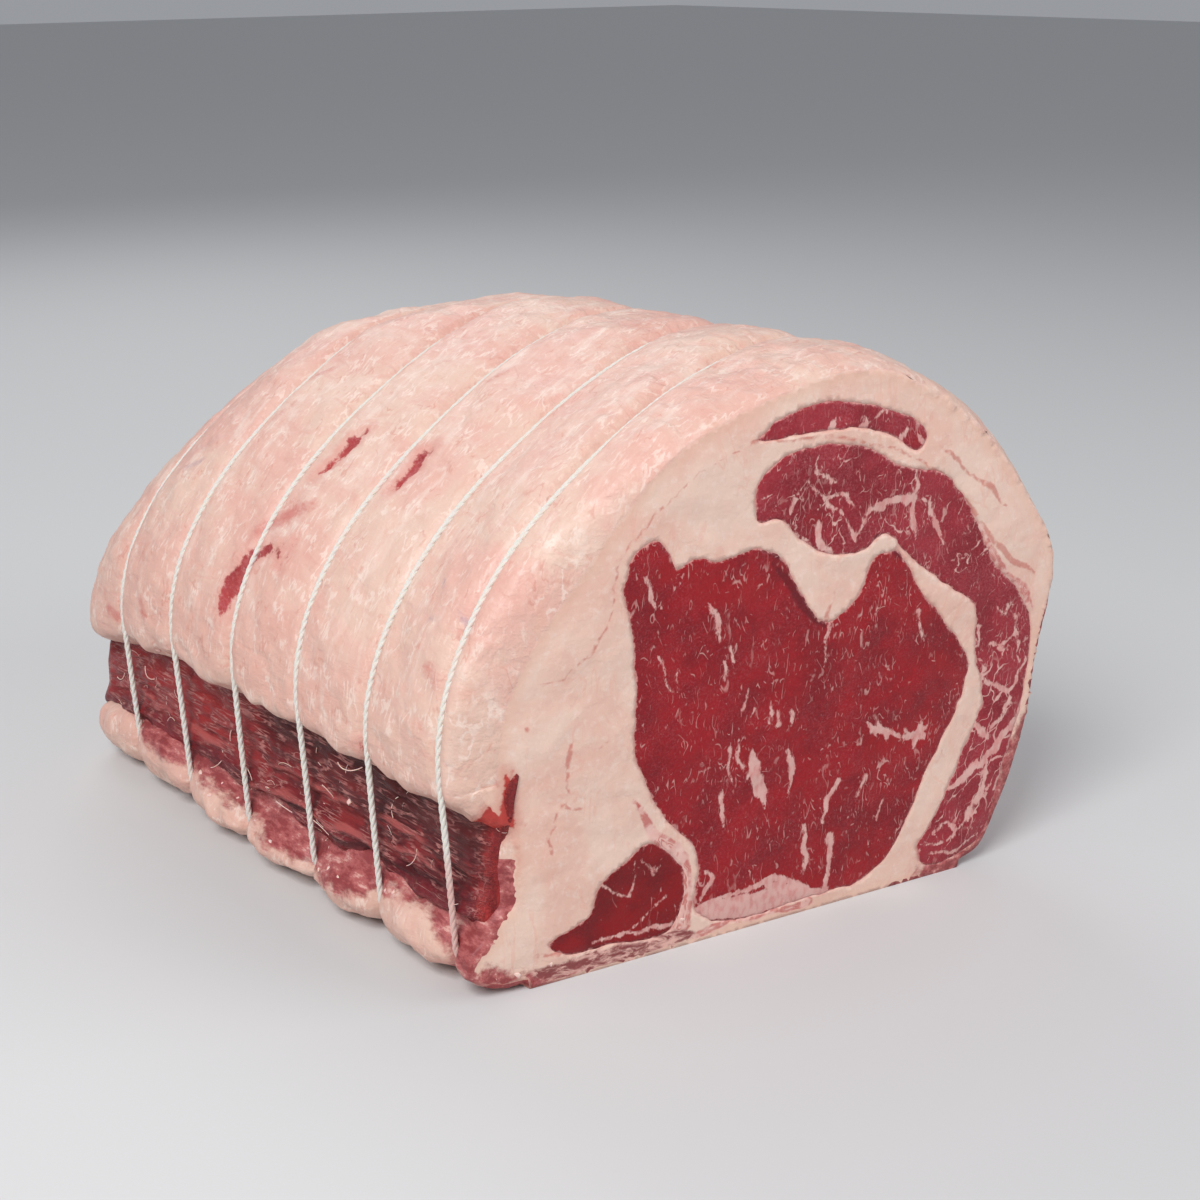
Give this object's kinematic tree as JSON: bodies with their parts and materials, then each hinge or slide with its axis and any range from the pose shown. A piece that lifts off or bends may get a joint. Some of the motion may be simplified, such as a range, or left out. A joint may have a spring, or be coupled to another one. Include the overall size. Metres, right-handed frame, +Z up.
{
  "type": "beef rib roast",
  "caption": "Raw boneless beef rib roast, rolled under a thick fat cap and tied with strings, with a slantwise cut face showing the muscles.",
  "frame": {"origin": "centre of the bounding box in plan, at the foot that rests on the board", "axes": "+Z up, with the fat cap on top; the roll runs along Y, with the slantwise cut at its -Y end; the trimmed side with its bare dark muscle faces -X"},
  "size_m": [0.1858, 0.2568, 0.1598],
  "materials": {
    "fat": "soft raw fat, satin and slightly moist",
    "lean": "raw red meat, moist and glossy",
    "dark_lean": "darker, drier raw meat with coarse fibres",
    "twine": "undyed twisted cotton, matt"
  },
  "bodies": {
    "root": {"fat": "fat", "rib_eye": "lean", "rib_cap": "lean", "top_muscle": "lean", "corner_muscle": "lean", "side_muscle": "dark_lean", "twine_1": "twine", "twine_2": "twine", "twine_3": "twine", "twine_4": "twine", "twine_5": "twine", "twine_6": "twine"}
  },
  "joints": []
}
